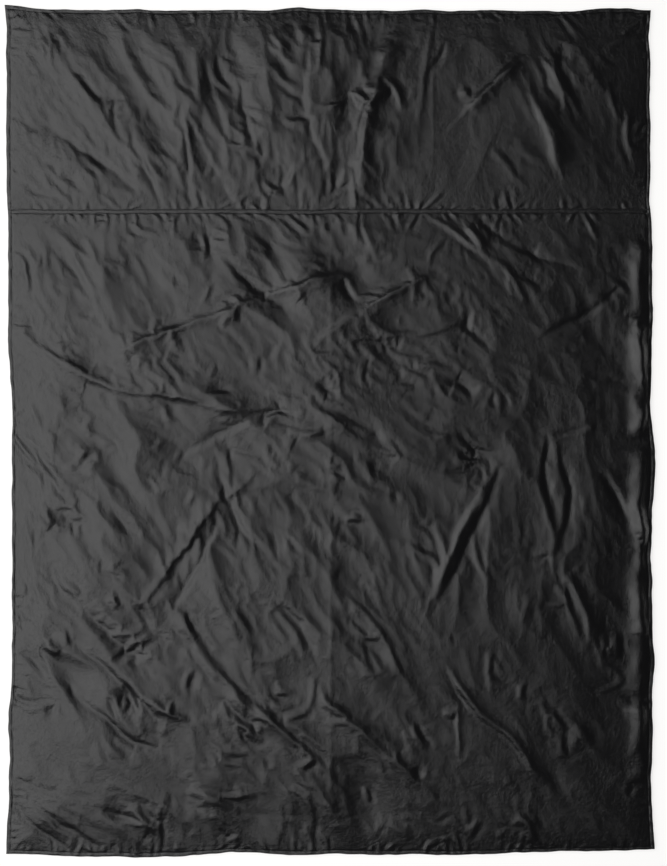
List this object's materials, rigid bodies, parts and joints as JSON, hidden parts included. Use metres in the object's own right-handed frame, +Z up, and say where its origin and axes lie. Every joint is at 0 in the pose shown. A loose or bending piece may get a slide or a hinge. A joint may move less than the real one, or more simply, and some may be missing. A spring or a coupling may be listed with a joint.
{
  "type": "camp quilt",
  "caption": "Rectangular insulated camp quilt in black satin nylon, with a head section that folds over along a puckered double-stitched cross seam.",
  "frame": {"origin": "centre of the quilt's outline, on the surface that it lies on", "axes": "+Z up out of the upper cloth, +Y along the length towards the head end, +X across the width, to the right for a viewer at the foot end"},
  "size_m": [1.57, 2.07, 0.024],
  "materials": {
    "face_cloth": "satin",
    "back_cloth": "satin",
    "insulation": "matte",
    "thread": "satin"
  },
  "bodies": {
    "main_section": {"face_main_panel": "face_cloth", "back_main_panel": "back_cloth", "main_insulation": "insulation", "upper_row_needle_thread": "thread", "upper_row_bobbin_thread": "thread", "lower_row_needle_thread": "thread", "lower_row_bobbin_thread": "thread", "main_edge_needle_thread": "thread", "main_edge_bobbin_thread": "thread", "main_hidden_seam_thread": "thread"},
    "head_section": {"face_head_panel": "face_cloth", "back_head_panel": "back_cloth", "head_insulation": "insulation", "head_edge_needle_thread": "thread", "head_edge_bobbin_thread": "thread", "head_hidden_seam_thread": "thread"}
  },
  "joints": [
    {"name": "head_fold", "type": "hinge", "parent": "main_section", "child": "head_section", "pos_m": [0, 0.5435, 0.009], "axis": [1, 0, 0], "range_deg": [0, 160]}
  ]
}
